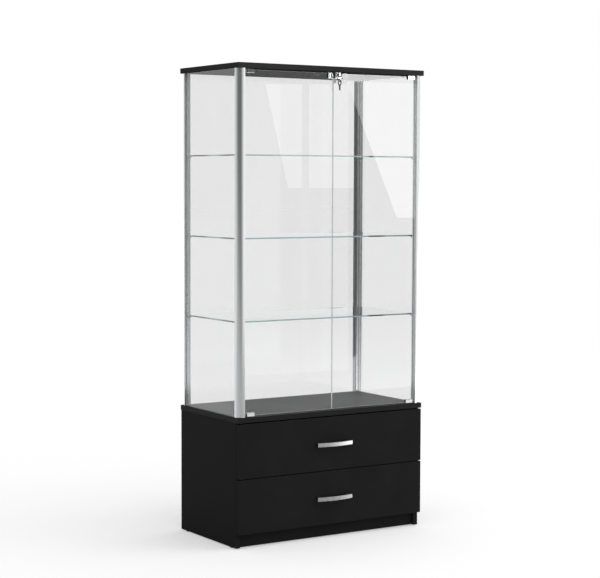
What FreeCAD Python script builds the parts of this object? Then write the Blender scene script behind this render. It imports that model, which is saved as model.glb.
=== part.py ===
import FreeCAD, Part
import math
import os
import Sketcher

# Glass display cabinet: a black board base with two drawers, and above it a glass case with
# quarter round aluminium corner posts, three glass shelves and two pivot hung glass doors.
# Frame: millimetres, +Z up, +X to the viewer's right, +Y to the back, floor at Z = 0,
# origin under the middle of the whole outline, handles included.

Vector = FreeCAD.Vector
Rotation = FreeCAD.Rotation

DIMENSIONS = [
    ("overall_width", 800, "width over the top panel"),
    ("overall_depth", 420, "depth of the top panel and of the deck"),
    ("overall_height", 1710, "floor to the upper face of the top panel"),
    ("base_height", 469, "floor to the upper face of the deck"),
    ("top_thickness", 19, "top panel board"),
    ("deck_thickness", 19, "deck board on top of the base"),
    ("side_thickness", 18, "base side boards"),
    ("floor_thickness", 16, "base floor board"),
    ("plinth_thickness", 16, "plinth board"),
    ("plinth_height", 50, "height of the plinth board"),
    ("plinth_recess", 14, "plinth behind the front edges of the base sides"),
    ("deck_overhang", 1.5, "deck beyond the base sides, at the ends and the back"),
    ("edge_break", 0.8, "broken edges of the board edging"),
    ("back_thickness", 3, "hardboard back of the base"),
    ("back_inset", 10, "back groove from the rear edge of the base sides"),
    ("groove_depth", 8, "depth of the groove for the back"),
    ("panel_play", 0.4, "play of a thin panel across its groove"),
    ("panel_end_play", 0.5, "play of a thin panel at the groove bottom"),
    ("glide_height", 3, "floor glide below the base side"),
    ("glide_radius", 8, "floor glide disc"),
    ("glide_inset", 40, "floor glide from the edge of the side board"),
    ("glide_pin_radius", 1.1, "nail of the floor glide"),
    ("glide_pin_length", 10, "nail of the floor glide in the board"),
    ("seat_clearance", 0.05, "radial clearance of a seated pin, dowel or screw"),
    ("running_clearance", 0.06, "radial clearance of a turning pin"),
    ("dowel_radius", 4, "wooden dowel"),
    ("dowel_in_side", 18, "dowel length in the long hole"),
    ("dowel_in_deck", 12, "dowel length in the short hole"),
    ("dowel_inset", 60, "dowel from the ends of the joint"),
    ("dowel_end_play", 0.3, "space at the ends of a dowel hole"),
    ("cam_radius", 7.5, "eccentric cam disc"),
    ("cam_depth", 12.5, "depth of the cam disc pocket"),
    ("cam_setback", 24, "cam disc centre below the joint"),
    ("cam_inset", 110, "cam fitting from the ends of the joint"),
    ("cam_bolt_radius", 3, "cam bolt"),
    ("cam_bolt_in_deck", 11, "cam bolt screwed into the deck"),
    ("cam_bolt_overrun", 2, "cam bolt past the centre of its disc"),
    ("post_size", 27, "side of the quarter round corner post, and its outer radius"),
    ("post_inset", 2, "post from the edges of the boards"),
    ("channel_offset", 5, "glazing channel from the outer face of the post"),
    ("channel_width", 6, "glazing channel"),
    ("channel_depth", 10, "glazing channel"),
    ("slot_offset", 16, "shelf slot from the outer face of the post"),
    ("slot_width", 6, "shelf slot"),
    ("slot_depth", 2.5, "shelf slot"),
    ("post_bore_offset", 13.5, "hollow core of the post from both outer faces"),
    ("post_bore_radius", 2.4, "hollow core of the post"),
    ("port_offset", 20, "screw port of the post from both outer faces"),
    ("post_screw_radius", 2.5, "screw that holds a post"),
    ("post_screw_head_radius", 5, "cap head"),
    ("post_screw_head_height", 3, "cap head"),
    ("post_screw_grip", 30, "screw length in the post"),
    ("pane_thickness", 4, "side and back panes"),
    ("pane_top_gap", 0.5, "space over a pane"),
    ("gasket_floor", 1, "gasket between a pane edge and the channel bottom"),
    ("gasket_fit", 0.05, "gasket to channel and gasket to pane"),
    ("seal_bore_radius", 1.4, "hollow of the soft door seal"),
    ("shelf_thickness", 5, "glass shelf"),
    ("shelf_side_gap", 3, "shelf to side pane"),
    ("shelf_end_gap", 2, "shelf to post"),
    ("shelf_corner_radius", 6, "shelf corner"),
    ("glass_arris", 0.6, "ground edge of the glass"),
    ("shelf_lower_height", 801.5, "floor to the underside of the lower shelf"),
    ("shelf_middle_height", 1095, "floor to the underside of the middle shelf"),
    ("shelf_upper_height", 1387.5, "floor to the underside of the upper shelf"),
    ("support_width", 9, "shelf support"),
    ("support_reach", 13, "shelf support, out from the post"),
    ("support_height", 9, "shelf support"),
    ("support_nose", 4, "shelf support at its thin end"),
    ("support_play", 0.1, "support tongue in its slot, each side"),
    ("door_setback", 8, "door glass behind the front edge of the deck"),
    ("door_glass_thickness", 5, "door glass"),
    ("door_post_gap", 2, "door glass to post"),
    ("door_meeting_gap", 2, "between the two doors"),
    ("hinge_board_gap", 2, "hinge clamp to deck or top panel"),
    ("hinge_web", 3, "hinge clamp under the glass edge"),
    ("hinge_length", 31, "hinge clamp along the door"),
    ("hinge_height", 14, "hinge clamp"),
    ("hinge_depth", 14, "hinge clamp through the door"),
    ("hinge_inset", 8, "hinge clamp from the edge of the glass"),
    ("hinge_break", 1, "broken edges of the hinge clamp"),
    ("pivot_setback", 13, "pivot axis from the edge of the glass"),
    ("pin_radius", 3, "pivot pin"),
    ("pin_depth", 9, "pivot pin in its board"),
    ("bush_radius", 5, "pivot bush"),
    ("bush_depth", 10, "pivot bush in its board"),
    ("bush_flange_radius", 7, "pivot bush flange"),
    ("bush_flange", 1.5, "pivot bush flange thickness"),
    ("clamp_fit", 0.05, "clamp jaw to glass"),
    ("clamp_screw_radius", 2, "clamping screw of a hinge"),
    ("clamp_screw_inset", 11, "outer clamping screw from the end of the clamp"),
    ("clamp_screw_pitch", 12, "between the two clamping screws"),
    ("clamp_socket_radius", 1, "driver socket of a clamping screw"),
    ("clamp_socket_depth", 2, "driver socket of a clamping screw"),
    ("stop_width", 20, "door stop"),
    ("stop_depth", 12, "door stop"),
    ("stop_height", 14, "door stop below the top panel"),
    ("stop_offset", 60, "door stop from the middle of the cabinet"),
    ("stop_gap", 0.3, "door stop to closed glass"),
    ("stop_break", 1.2, "broken edges of the door stop"),
    ("lock_width", 26, "lock housing"),
    ("lock_height", 22, "lock housing and keeper"),
    ("lock_depth", 12, "lock housing in front of the glass"),
    ("lock_break", 1.5, "broken edges of the lock housing"),
    ("lock_edge_gap", 0.5, "lock and keeper from the meeting edge of the glass"),
    ("notch_width", 20, "corner notch of the right door"),
    ("notch_height", 14, "corner notch of the right door"),
    ("notch_radius", 4, "inner corner of the notch"),
    ("notch_play", 0.3, "lock core to notch"),
    ("lock_plate_thickness", 3, "lock plate behind the glass"),
    ("plug_radius", 6, "lock plug"),
    ("plug_proud", 1, "lock plug in front of its housing"),
    ("plug_tail", 0.3, "lock plug behind the back plate"),
    ("spigot_side", 6, "square end of the plug"),
    ("spigot_fit", 0.05, "cam to square end, each side"),
    ("lock_cam_thickness", 2, "lock cam"),
    ("lock_cam_radius", 5, "half width of the lock cam"),
    ("lock_cam_reach", 24, "lock cam, axis to the centre of its round end"),
    ("cam_screw_radius", 2, "screw of the lock cam"),
    ("cam_screw_length", 9, "screw of the lock cam"),
    ("cam_screw_head_radius", 4, "screw of the lock cam"),
    ("cam_screw_head_height", 2, "screw of the lock cam"),
    ("key_thickness", 2.2, "key plate"),
    ("key_blade_width", 7.6, "key blade"),
    ("key_blade_inside", 14, "key blade inside the plug"),
    ("key_neck", 2, "key blade between plug and bow"),
    ("key_play", 0.1, "key blade in the keyway, each side"),
    ("key_bow_radius", 10, "round bow of the key"),
    ("key_hole_radius", 6.5, "hole in the bow"),
    ("key_cut_depth", 1.8, "bitting of the key"),
    ("key_cut_width", 2.4, "bitting of the key"),
    ("key_cut_pitch", 4.2, "bitting of the key"),
    ("ring_radius", 10, "key ring to the middle of its wire"),
    ("ring_wire", 1.6, "side of the flat wire of the key ring"),
    ("ring_gap", 0.3, "key ring to the corner of the bow"),
    ("keeper_width", 22, "keeper on the left door"),
    ("keeper_front", 3, "keeper wall in front of the glass"),
    ("keeper_rear", 2.5, "keeper wall behind the glass"),
    ("keeper_break", 0.8, "broken edges of the keeper"),
    ("front_thickness", 16, "drawer front"),
    ("front_gap", 2, "drawer front to base side"),
    ("front_inset", 1.5, "drawer front from the end of the deck"),
    ("deck_reveal", 4, "deck to upper drawer front"),
    ("drawer_reveal", 3, "between the drawer fronts"),
    ("runner_gap", 12.75, "base side to drawer box"),
    ("box_board", 12, "drawer box boards"),
    ("box_length", 350, "drawer box and runners"),
    ("box_clearance", 4, "lower drawer box above the base floor"),
    ("box_drop", 35, "drawer box below the upper edge of its front"),
    ("bottom_thickness", 3, "drawer bottom"),
    ("bottom_lift", 10, "drawer bottom above the lower edge of the box"),
    ("bottom_groove", 6, "groove for the drawer bottom"),
    ("rail_steel", 1.2, "runner sheet"),
    ("rail_height", 30, "cabinet rail"),
    ("rail_reach", 10, "cabinet rail, out from the base side"),
    ("tread_height", 22, "drawer rail tread above the lower edge of the rail"),
    ("tread_reach", 3, "drawer rail tread from the base side"),
    ("roller_width", 7, "runner roller"),
    ("roller_start", 2.2, "runner roller from the base side"),
    ("front_roller_radius", 8, "runner roller on the cabinet rail"),
    ("rear_roller_radius", 9, "runner roller on the drawer rail"),
    ("roller_gap", 0.3, "runner roller to its tread"),
    ("roller_inset", 14, "roller axle from the end of its rail"),
    ("axle_radius", 2.5, "roller axle"),
    ("handle_length", 150, "bow handle"),
    ("handle_reach", 28, "bow handle, out from the drawer front"),
    ("handle_bow", 11, "rise of the bow over its ends"),
    ("handle_height", 15, "bow handle"),
    ("handle_thickness", 5, "bow handle"),
    ("handle_break", 1, "broken long edges of the bow handle"),
    ("handle_pitch", 128, "between the handle screws"),
    ("foot_half_width", 6, "half width of a handle foot"),
    ("handle_screw_radius", 2, "handle screw"),
    ("handle_screw_grip", 9, "handle screw in the handle foot"),
    ("handle_screw_head_radius", 4, "handle screw head"),
    ("handle_screw_head_height", 2.5, "handle screw head"),
]


class Size:
    """A length with its number and with the sheet expression that gives it."""

    def __init__(self, value, text):
        self.value = value
        self.text = text

    def __add__(self, other):
        other = as_size(other)
        return Size(self.value + other.value, f"({self.text} + {other.text})")

    def __radd__(self, other):
        return as_size(other) + self

    def __sub__(self, other):
        other = as_size(other)
        return Size(self.value - other.value, f"({self.text} - {other.text})")

    def __rsub__(self, other):
        return as_size(other) - self

    def __mul__(self, other):
        other = as_size(other)
        return Size(self.value * other.value, f"({self.text} * {other.text})")

    def __rmul__(self, other):
        return as_size(other) * self

    def __truediv__(self, other):
        other = as_size(other)
        return Size(self.value / other.value, f"({self.text} / {other.text})")

    def __neg__(self):
        return Size(-self.value, f"(-{self.text})")


def as_size(number):
    return number if isinstance(number, Size) else Size(float(number), repr(number))


def root_of(size):
    return Size(math.sqrt(size.value), f"sqrt({size.text})")


class Dimensions:
    """The driving dimensions, each readable by its name."""

    def __init__(self, sheet):
        for row, (alias, number, meaning) in enumerate(DIMENSIONS, start=1):
            sheet.set(f"A{row}", str(number))
            sheet.setAlias(f"A{row}", alias)
            sheet.set(f"B{row}", meaning)
            setattr(self, alias, Size(float(number), f"{sheet.Name}.{alias}"))


doc = FreeCAD.newDocument("display_cabinet")
sheet = doc.addObject("Spreadsheet::Sheet", "sizes")
d = Dimensions(sheet)
doc.recompute()

AXIS_TURN = {
    "x": Rotation(Vector(0, 1, 0), 90),
    "y": Rotation(Vector(1, 0, 0), -90),
    "z": Rotation(),
}
SAME_POINT = 1e-6
PEG_SIDES = 8
SOCKET_SIDES = 6
HEAD_SIDES = 12
DISC_SIDES = 24
QUARTER_TURNS = [Rotation(Vector(0, 0, 1), angle) for angle in (0, 90, 180, 270)]

# Planes and faces that several pieces share
half_width = d.overall_width / 2
front_y = (d.handle_reach - d.overall_depth) / 2
back_y = front_y + d.overall_depth
deck_under = d.base_height - d.deck_thickness
top_under = d.overall_height - d.top_thickness
display_height = top_under - d.base_height
display_middle = d.base_height + display_height / 2
side_outer = half_width - d.deck_overhang
side_inner = side_outer - d.side_thickness
side_front = front_y + d.front_thickness + d.front_gap
side_back = back_y - d.deck_overhang
side_depth = side_back - side_front
side_height = deck_under - d.glide_height
floor_under = d.glide_height + d.plinth_height
back_groove_y = side_back - d.back_inset - d.back_thickness - d.panel_play
lower_front_z = floor_under
front_height = (deck_under - d.deck_reveal - d.drawer_reveal - lower_front_z) / 2
upper_front_z = lower_front_z + front_height + d.drawer_reveal
box_lift = d.floor_thickness + d.box_clearance
box_height = front_height - box_lift - d.box_drop
post_left = -half_width + d.post_inset
post_front = front_y + d.post_inset
post_back = back_y - d.post_inset
post_face_x = half_width - d.post_inset - d.post_size
door_front = front_y + d.door_setback
door_back = door_front + d.door_glass_thickness
door_edge = post_face_x - d.door_post_gap
door_width = door_edge - d.door_meeting_gap / 2
door_low = d.base_height + d.hinge_board_gap + d.hinge_web
door_high = top_under - d.hinge_board_gap - d.hinge_web
pivot_x = -(door_edge - d.pivot_setback)
pivot_y = door_front + d.door_glass_thickness / 2
port_x = post_left + d.port_offset
port_front = post_front + d.port_offset
port_back = post_back - d.port_offset

nodes = {}


def bind(thing, path, size):
    thing.setExpression(path, as_size(size).text)


def place(thing, x, y, z, turn=None, path="Placement"):
    setattr(thing, path, FreeCAD.Placement(Vector(), turn or Rotation()))
    for axis, size in zip("xyz", (x, y, z)):
        bind(thing, f"{path}.Base.{axis}", size)
    return thing


def new_body(name, x=0, y=0, z=0, turn=None):
    return place(doc.addObject("PartDesign::Body", name), x, y, z, turn)


def primitive(body, kind, sizes, at, axis="z"):
    feature = body.newObject(f"PartDesign::{kind}", kind.lower())
    for name, size in sizes.items():
        bind(feature, name, size)
    place(feature, *at, AXIS_TURN[axis])
    return feature


def add_box(body, x, y, z, at=(0, 0, 0)):
    return primitive(body, "AdditiveBox", {"Length": x, "Width": y, "Height": z}, at)


def cut_box(body, x, y, z, at=(0, 0, 0)):
    return primitive(body, "SubtractiveBox", {"Length": x, "Width": y, "Height": z}, at)


def add_rod(body, radius, length, at=(0, 0, 0), axis="z"):
    return primitive(body, "AdditiveCylinder", {"Radius": radius, "Height": length}, at, axis)


def cut_rod(body, radius, length, at=(0, 0, 0), axis="z"):
    return primitive(body, "SubtractiveCylinder", {"Radius": radius, "Height": length}, at, axis)


def add_peg(body, radius, length, at=(0, 0, 0), axis="z", sides=PEG_SIDES):
    """A shank, a hidden hole or a small disc, drawn with a few flat sides."""
    feature = primitive(body, "AdditivePrism", {"Circumradius": radius, "Height": length}, at, axis)
    feature.Polygon = sides
    return feature


def cut_peg(body, radius, length, at=(0, 0, 0), axis="z", sides=PEG_SIDES):
    feature = primitive(body, "SubtractivePrism", {"Circumradius": radius, "Height": length}, at, axis)
    feature.Polygon = sides
    return feature


def break_all_edges(body, size):
    doc.recompute()
    base = body.Tip
    feature = body.newObject("PartDesign::Chamfer", "arris")
    feature.Base = (base, ["Face1"])
    feature.UseAllEdges = True
    bind(feature, "Size", size)
    return feature


def round_upright_edges(body, radius):
    """Round the edges along the body's own Z."""
    doc.recompute()
    base = body.Tip
    upright = []
    for number, edge in enumerate(base.Shape.Edges, start=1):
        run = edge.Vertexes[-1].Point - edge.Vertexes[0].Point
        if run.Length > SAME_POINT and run.cross(Vector(0, 0, 1)).Length < SAME_POINT:
            upright.append(f"Edge{number}")
    feature = body.newObject("PartDesign::Fillet", "corners")
    feature.Base = (base, upright)
    bind(feature, "Radius", radius)
    return feature


def break_level_edges(body, size, beyond_y):
    """Break the edges across the body's own Z that reach beyond a plane of Y."""
    doc.recompute()
    base = body.Tip
    level = []
    for number, edge in enumerate(base.Shape.Edges, start=1):
        box = edge.BoundBox
        if box.ZLength < SAME_POINT and box.YMax > beyond_y.value:
            level.append(f"Edge{number}")
    feature = body.newObject("PartDesign::Chamfer", "rims")
    feature.Base = (base, level)
    bind(feature, "Size", size)
    return feature


def board(name, x, y, z, at):
    """A board whose edging has broken edges, its low corner at the given place."""
    body = new_body(name, *at)
    add_box(body, x, y, z)
    break_all_edges(body, d.edge_break)
    return body


def pane(name, x, y, z, at):
    """A glass pane with ground edges, its low corner at the given place."""
    body = new_body(name, *at)
    add_box(body, x, y, z)
    break_all_edges(body, d.glass_arris)
    return body


def mirrored(name, source, normal=(1, 0, 0), middle=None):
    """The same piece on the other side of a plane, the cabinet's middle plane if none is given."""
    feature = doc.addObject("Part::Mirroring", name)
    feature.Source = source
    feature.Normal = normal
    if middle is not None:
        bind(feature, "Base.z", middle)
    return feature


def group(name, members):
    compound = doc.addObject("Part::Compound", name)
    compound.Links = members
    return compound


def copies(name, source, places):
    """One group of equal pieces; each place is x, y, z and a turn."""
    links = []
    for x, y, z, turn in places:
        link = doc.addObject("App::Link", f"{name}_copy")
        link.LinkedObject = source
        links.append(place(link, x, y, z, turn, "LinkPlacement"))
    return group(name, links)


def node(name, thing):
    thing.Label = name
    nodes[name] = thing
    return thing


def origin_plane(body, role):
    return next(item for item in body.Origin.OriginFeatures if item.Role == role)


def new_sketch(body, role):
    sketch = body.newObject("Sketcher::SketchObject", "outline")
    sketch.AttachmentSupport = [(origin_plane(body, role), "")]
    sketch.MapMode = "FlatFace"
    return sketch


def fix_point(sketch, geometry, end, x, y):
    """Hold one end of a sketch line at its place from the sketch origin."""
    for kind, axis, size in (("DistanceX", -2, as_size(x)), ("DistanceY", -1, as_size(y))):
        if size.text == "0":
            sketch.addConstraint(Sketcher.Constraint("PointOnObject", geometry, end, axis))
        else:
            number = sketch.addConstraint(
                Sketcher.Constraint(kind, -1, 1, geometry, end, size.value))
            bind(sketch, f"Constraints[{number}]", size)


def flat(x, y):
    return Vector(as_size(x).value, as_size(y).value, 0)


def draw_loop(sketch, points, arcs=None):
    """A closed outline through the points; arcs maps a segment to its radius and middle point.
    A sketch holds every arc anticlockwise, so a clockwise one is drawn from its far end."""
    arcs = arcs or {}
    count = len(points)
    ends = []
    for number, start in enumerate(points):
        end = points[(number + 1) % count]
        if number in arcs:
            a, b, c = flat(*start), flat(*arcs[number][1]), flat(*end)
            if (b - a).cross(c - a).z > 0:
                ends.append((sketch.addGeometry(Part.Arc(a, b, c)), 1, 2))
            else:
                ends.append((sketch.addGeometry(Part.Arc(c, b, a)), 2, 1))
        else:
            index = sketch.addGeometry(Part.LineSegment(flat(*start), flat(*end)))
            ends.append((index, 1, 2))
    for number, (index, first, last) in enumerate(ends):
        following, start, _ = ends[(number + 1) % count]
        sketch.addConstraint(Sketcher.Constraint("Coincident", index, last, following, start))
    for (index, first, _), point in zip(ends, points):
        fix_point(sketch, index, first, *point)
    for number, (radius, _) in arcs.items():
        index = ends[number][0]
        held = sketch.addConstraint(Sketcher.Constraint("Radius", index, radius.value))
        bind(sketch, f"Constraints[{held}]", radius)


def pad(body, sketch, length):
    feature = body.newObject("PartDesign::Pad", "pad")
    feature.Profile = sketch
    bind(feature, "Length", length)
    return feature


# Joints of the base: places along Y, shared by holes, dowels and cam fittings
dowel_rows = (side_front + d.dowel_inset, side_back - d.dowel_inset)
cam_rows = (side_front + d.cam_inset, side_back - d.cam_inset)
glide_rows = (side_front + d.glide_inset, side_back - d.glide_inset)
side_middle = side_outer - d.side_thickness / 2
dowel_hole = d.dowel_radius + d.seat_clearance
cam_bolt_hole = d.cam_bolt_radius + d.seat_clearance
floor_middle = floor_under + d.floor_thickness / 2


def make_base_sides():
    body = board("base_side_left", d.side_thickness, side_depth, side_height,
                 (-side_outer, side_front, d.glide_height))
    cut_box(body, d.groove_depth, d.back_thickness + d.panel_play, side_height,
            (d.side_thickness - d.groove_depth, back_groove_y - side_front, 0))
    for y in dowel_rows:
        depth = d.dowel_in_side + d.dowel_end_play
        cut_peg(body, dowel_hole, depth, (d.side_thickness / 2, y - side_front, side_height - depth))
        depth = d.dowel_in_deck + d.dowel_end_play
        cut_peg(body, dowel_hole, depth,
                (d.side_thickness - depth, y - side_front, floor_middle - d.glide_height), "x")
    for y in cam_rows:
        depth = d.cam_setback + d.cam_bolt_overrun + d.dowel_end_play
        cut_peg(body, cam_bolt_hole, depth,
                (d.side_thickness / 2, y - side_front, side_height - depth))
        cut_peg(body, d.cam_radius + d.seat_clearance, d.cam_depth,
                (d.side_thickness - d.cam_depth, y - side_front, side_height - d.cam_setback), "x")
    for y in glide_rows:
        cut_peg(body, d.glide_pin_radius + d.seat_clearance, d.glide_pin_length + d.dowel_end_play,
                (d.side_thickness / 2, y - side_front, 0))
    node("base_side_left", body)
    node("base_side_right", mirrored("base_side_right", body))


def make_deck():
    body = board("base_deck", d.overall_width, d.overall_depth, d.deck_thickness,
                 (-half_width, front_y, deck_under))
    for sign in (-1, 1):
        for y in dowel_rows:
            cut_peg(body, dowel_hole, d.dowel_in_deck + d.dowel_end_play,
                    (half_width + sign * side_middle, y - front_y, 0))
        for y in cam_rows:
            cut_peg(body, cam_bolt_hole, d.cam_bolt_in_deck + d.dowel_end_play,
                    (half_width + sign * side_middle, y - front_y, 0))
        for y in (port_front, port_back):
            spot = (half_width + sign * port_x, y - front_y, 0)
            cut_peg(body, d.post_screw_radius + d.seat_clearance, d.deck_thickness, spot)
            cut_peg(body, d.post_screw_head_radius + d.seat_clearance, d.post_screw_head_height, spot,
                    sides=HEAD_SIDES)
        cut_peg(body, d.bush_radius + d.seat_clearance, d.bush_depth,
                (half_width + sign * pivot_x, pivot_y - front_y, d.deck_thickness - d.bush_depth))
    node("base_deck", body)


def make_top_panel():
    body = board("top_panel", d.overall_width, d.overall_depth, d.top_thickness,
                 (-half_width, front_y, top_under))
    head_floor = d.top_thickness - d.post_screw_head_height
    for sign in (-1, 1):
        for y in (port_front, port_back):
            x = half_width + sign * port_x
            cut_peg(body, d.post_screw_radius + d.seat_clearance, d.top_thickness, (x, y - front_y, 0))
            cut_peg(body, d.post_screw_head_radius + d.seat_clearance, d.post_screw_head_height,
                    (x, y - front_y, head_floor), sides=HEAD_SIDES)
        cut_peg(body, d.bush_radius + d.seat_clearance, d.bush_depth,
                (half_width + sign * pivot_x, pivot_y - front_y, 0))
    node("top_panel", body)


def make_base_floor():
    width = 2 * side_inner
    body = board("base_floor", width, back_groove_y - side_front, d.floor_thickness,
                 (-side_inner, side_front, floor_under))
    depth = d.dowel_in_side + d.dowel_end_play
    for y in dowel_rows:
        for x in (0, width - depth):
            cut_peg(body, dowel_hole, depth, (x, y - side_front, d.floor_thickness / 2), "x")
    node("base_floor", body)


def make_plinth():
    node("plinth_board", board("plinth_board", 2 * side_inner, d.plinth_thickness, d.plinth_height,
                               (-side_inner, side_front + d.plinth_recess, d.glide_height)))


def make_base_back():
    half = side_inner + d.groove_depth - d.panel_end_play
    body = new_body("base_back", -half, back_groove_y, floor_under)
    add_box(body, 2 * half, d.back_thickness, deck_under - floor_under)
    node("base_back", body)


def make_glides():
    glide = new_body("glide")
    add_peg(glide, d.glide_radius, d.glide_height)
    add_peg(glide, d.glide_pin_radius, d.glide_pin_length, (0, 0, d.glide_height))
    places = [(sign * side_middle, y, 0, None) for sign in (-1, 1) for y in glide_rows]
    node("floor_glides", copies("floor_glides", glide, places))


def make_dowels():
    dowel = new_body("dowel")
    add_peg(dowel, d.dowel_radius, d.dowel_in_side + d.dowel_in_deck)
    across = AXIS_TURN["x"]
    places = []
    for y in dowel_rows:
        for sign in (-1, 1):
            places.append((sign * side_middle, y, deck_under - d.dowel_in_side, None))
        places.append((-side_inner - d.dowel_in_deck, y, floor_middle, across))
        places.append((side_inner - d.dowel_in_side, y, floor_middle, across))
    node("carcass_dowels", copies("carcass_dowels", dowel, places))


def make_cam_fittings():
    """A cam disc in the inner face of each base side grips a bolt that hangs from the deck."""
    disc = new_body("cam_disc")
    add_peg(disc, d.cam_radius, d.cam_depth, (0, 0, 0), "x")
    cut_peg(disc, cam_bolt_hole, d.cam_radius + d.cam_bolt_overrun + d.dowel_end_play,
            (d.cam_depth - d.side_thickness / 2, 0, -d.cam_bolt_overrun - d.dowel_end_play))
    bolt = new_body("cam_bolt")
    add_peg(bolt, d.cam_bolt_radius, d.cam_setback + d.cam_bolt_overrun + d.cam_bolt_in_deck)
    half_turn = QUARTER_TURNS[2]
    discs = []
    bolts = []
    for y in cam_rows:
        z = deck_under - d.cam_setback
        discs.append((-side_inner - d.cam_depth, y, z, None))
        discs.append((side_inner + d.cam_depth, y, z, half_turn))
        bolts += [(sign * side_middle, y, z - d.cam_bolt_overrun, None) for sign in (-1, 1)]
    members = [copies("cam_discs", disc, discs), copies("cam_bolts", bolt, bolts)]
    node("cam_fittings", group("cam_fittings", members))


def post_outline(sketch):
    """Section of the corner post: a quarter round skin, two glazing channels, two shelf slots."""
    size = d.post_size
    near = d.channel_offset
    far = near + d.channel_width
    floor = size - d.channel_depth
    low = d.slot_offset
    high = low + d.slot_width
    inner = size - d.slot_depth
    right_face = [(size, 0), (size, near), (floor, near), (floor, far), (size, far),
                  (size, low), (inner, low), (inner, high), (size, high)]
    points = right_face + [(size, size)] + [(y, x) for x, y in reversed(right_face)]
    bulge = size.value * (1 - math.sqrt(0.5))
    draw_loop(sketch, points, {len(points) - 1: (size, (bulge, bulge))})


def make_posts():
    corners = [("post_front_left", post_left, post_front),
               ("post_front_right", -post_left, post_front),
               ("post_rear_right", -post_left, post_back),
               ("post_rear_left", post_left, post_back)]
    for (name, x, y), turn in zip(corners, QUARTER_TURNS):
        body = new_body(name, x, y, d.base_height, turn)
        sketch = new_sketch(body, "XY_Plane")
        post_outline(sketch)
        pad(body, sketch, display_height)
        cut_peg(body, d.post_bore_radius, display_height, (d.post_bore_offset, d.post_bore_offset, 0))
        cut_peg(body, d.post_screw_radius + d.seat_clearance, display_height,
                (d.port_offset, d.port_offset, 0))
        node(name, body)


def make_post_screws():
    """Cap screws up through the deck and down through the top panel into the screw ports."""
    shank = d.deck_thickness - d.post_screw_head_height + d.post_screw_grip
    rising = new_body("rising_screw")
    add_peg(rising, d.post_screw_head_radius, d.post_screw_head_height, sides=HEAD_SIDES)
    add_peg(rising, d.post_screw_radius, shank, (0, 0, d.post_screw_head_height))
    length = d.top_thickness - d.post_screw_head_height + d.post_screw_grip
    falling = new_body("falling_screw")
    add_peg(falling, d.post_screw_radius, length)
    add_peg(falling, d.post_screw_head_radius, d.post_screw_head_height, (0, 0, length),
            sides=HEAD_SIDES)
    spots = [(sign * port_x, y) for sign in (-1, 1) for y in (port_front, port_back)]
    lower = copies("lower_post_screws", rising, [(x, y, deck_under, None) for x, y in spots])
    upper = copies("upper_post_screws", falling,
                   [(x, y, top_under - d.post_screw_grip, None) for x, y in spots])
    node("post_screws", group("post_screws", [lower, upper]))


# Panes stand in the channels: their middle plane and their edges follow the posts
pane_offset = d.post_inset + d.channel_offset + (d.channel_width - d.pane_thickness) / 2
pane_edge = d.post_inset + d.post_size - d.channel_depth + d.gasket_floor + d.gasket_fit
pane_height = display_height - d.pane_top_gap


def make_panes():
    left = pane("side_glass_left", d.pane_thickness, d.overall_depth - 2 * pane_edge, pane_height,
                (-half_width + pane_offset, front_y + pane_edge, d.base_height))
    node("side_glass_left", left)
    node("side_glass_right", mirrored("side_glass_right", left))
    node("back_glass", pane("back_glass", d.overall_width - 2 * pane_edge, d.pane_thickness, pane_height,
                            (-half_width + pane_edge, back_y - pane_offset - d.pane_thickness,
                             d.base_height)))


def make_gaskets():
    """A soft channel round each upright pane edge, inside its post."""
    width = d.channel_width - 2 * d.gasket_fit
    slot = d.pane_thickness + 2 * d.gasket_fit
    gasket = new_body("gasket")
    add_box(gasket, width, d.channel_depth, display_height, (-width / 2, 0, 0))
    cut_box(gasket, slot, d.channel_depth - d.gasket_floor, display_height,
            (-slot / 2, d.gasket_floor, 0))
    middle = d.post_inset + d.channel_offset + d.channel_width / 2
    floor = d.post_inset + d.post_size - d.channel_depth
    z = d.base_height
    places = []
    for sign in (-1, 1):
        x = sign * (half_width - middle)
        places.append((x, front_y + floor, z, QUARTER_TURNS[0]))
        places.append((x, back_y - floor, z, QUARTER_TURNS[2]))
        turn = QUARTER_TURNS[2 - sign]
        places.append((-sign * (floor - half_width), back_y - middle, z, turn))
    node("glazing_gaskets", copies("glazing_gaskets", gasket, places))


def make_door_seals():
    """Soft hollow strips that fill the empty front channels beside the doors."""
    width = d.channel_width - 2 * d.gasket_fit
    seal = new_body("door_seal", post_left + d.post_size - d.channel_depth,
                    post_front + d.channel_offset + d.gasket_fit, d.base_height)
    add_box(seal, d.channel_depth, width, display_height)
    cut_peg(seal, d.seal_bore_radius, display_height, (d.channel_depth / 2, width / 2, 0))
    node("door_seals", group("door_seals", [seal, mirrored("door_seal_right", seal)]))


shelf_front = post_front + d.post_size + d.shelf_end_gap
shelf_half = half_width - pane_offset - d.pane_thickness - d.shelf_side_gap
shelf_heights = {
    "lower": d.shelf_lower_height,
    "middle": d.shelf_middle_height,
    "upper": d.shelf_upper_height,
}


def make_shelves():
    depth = back_y - d.post_inset - d.post_size - d.shelf_end_gap - shelf_front
    for level, z in shelf_heights.items():
        body = new_body(f"shelf_{level}", -shelf_half, shelf_front, z)
        add_box(body, 2 * shelf_half, depth, d.shelf_thickness)
        round_upright_edges(body, d.shelf_corner_radius)
        node(f"shelf_{level}", body)


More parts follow.
